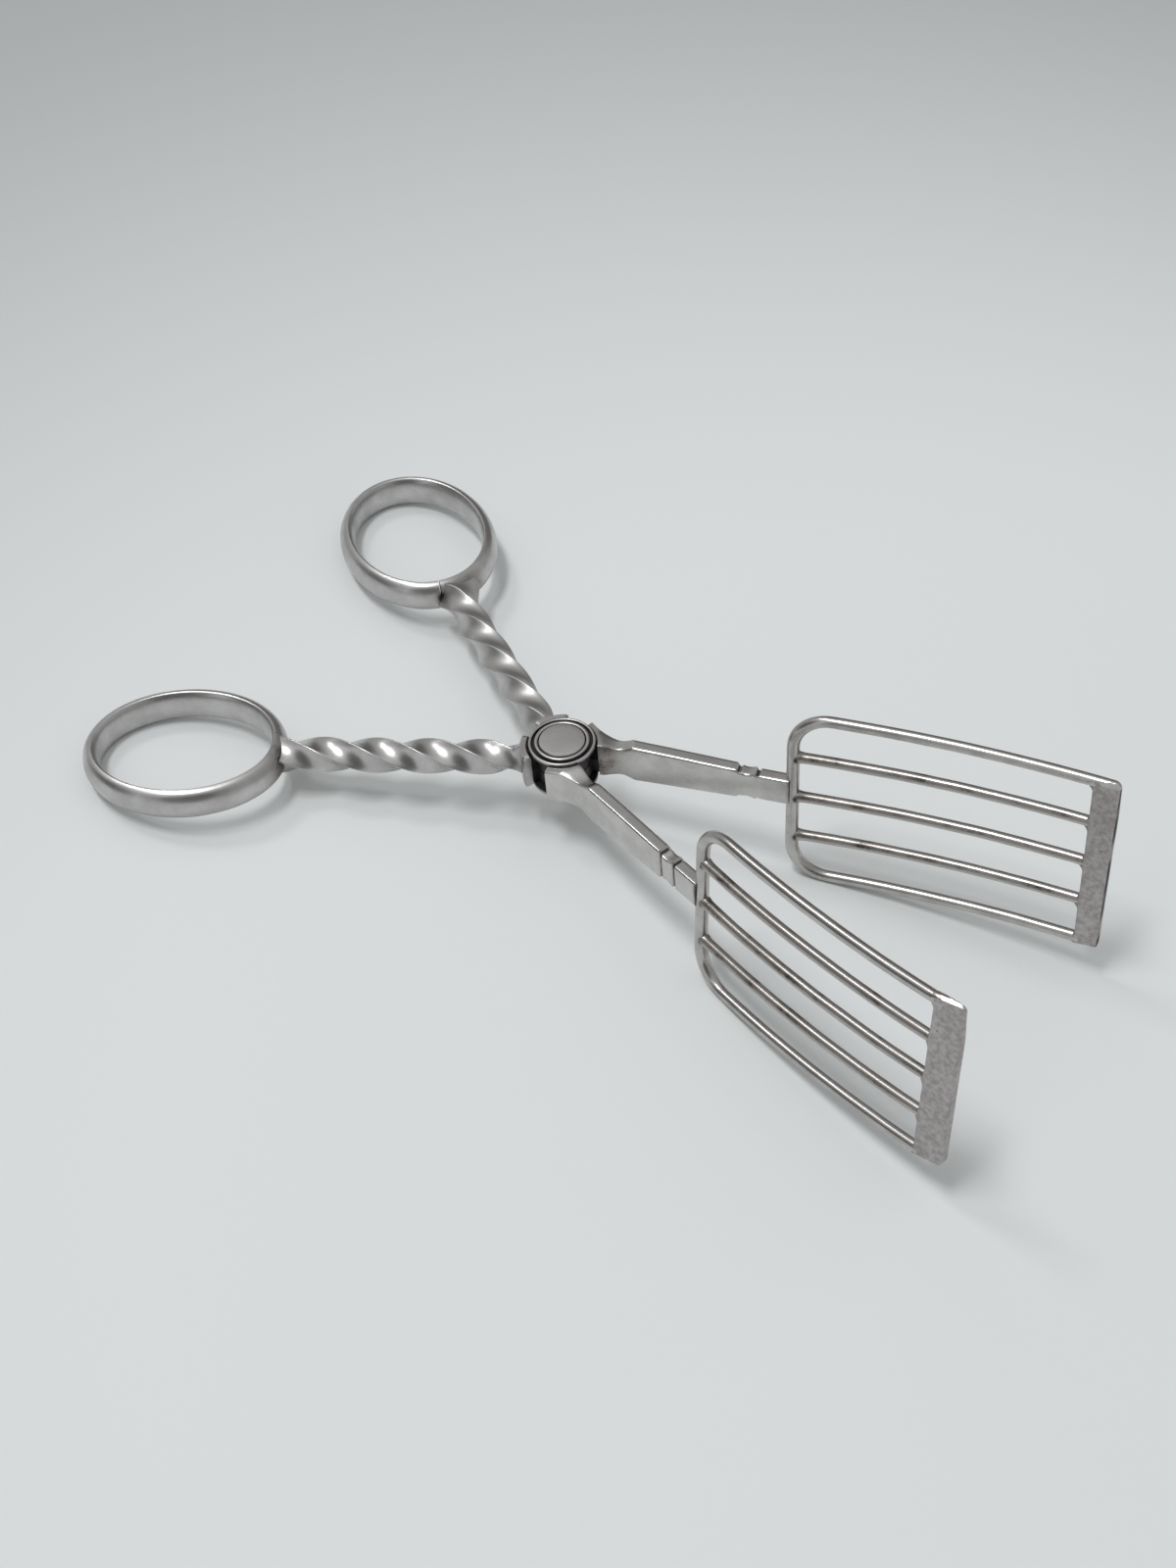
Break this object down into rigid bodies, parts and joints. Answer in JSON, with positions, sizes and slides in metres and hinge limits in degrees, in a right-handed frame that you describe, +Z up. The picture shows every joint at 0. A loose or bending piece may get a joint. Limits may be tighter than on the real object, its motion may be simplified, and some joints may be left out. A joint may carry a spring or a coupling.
{
  "type": "pastry tongs",
  "caption": "Scissor-action serving tongs with oval finger rings, twisted square shanks, a capped rivet and upright bowed wire grills that grip a pastry from both sides.",
  "frame": {"origin": "under the middle of the tongs, on the table they lie on", "axes": "+X towards the grills along the middle line, +Y across to the arm whose finger ring is on the -Y side, +Z up from the table"},
  "size_m": [0.1938, 0.113, 0.0496],
  "materials": {
    "silver_bright": "polished silver plate with fine wear",
    "silver_satin": "satin silver plate, lightly tarnished in the corners",
    "silver_worn": "worn silver plate with a mottled warm tone",
    "silver_cap": "turned silver plate with dark tarnish in its grooves"
  },
  "bodies": {
    "arm_a": {"finger_ring_a": "silver_satin", "twisted_shank_a": "silver_bright", "shank_collar_a": "silver_bright", "jaw_arm_a": "silver_bright", "grill_frame_a": "silver_satin", "grill_wire_a_1": "silver_satin", "grill_wire_a_2": "silver_satin", "grill_wire_a_3": "silver_satin", "end_bar_a": "silver_worn", "pivot_rivet": "silver_cap", "pivot_washer_top": "silver_cap", "pivot_washer_bottom": "silver_cap"},
    "arm_b": {"finger_ring_b": "silver_satin", "twisted_shank_b": "silver_bright", "shank_collar_b": "silver_bright", "jaw_arm_b": "silver_bright", "grill_frame_b": "silver_satin", "grill_wire_b_1": "silver_satin", "grill_wire_b_2": "silver_satin", "grill_wire_b_3": "silver_satin", "end_bar_b": "silver_worn"}
  },
  "joints": [
    {"name": "jaw_pivot", "type": "hinge", "parent": "arm_a", "child": "arm_b", "pos_m": [-0.0107, 0, 0.01543], "axis": [-0.1405, 0, 0.9901], "range_deg": [-36, 24]}
  ]
}
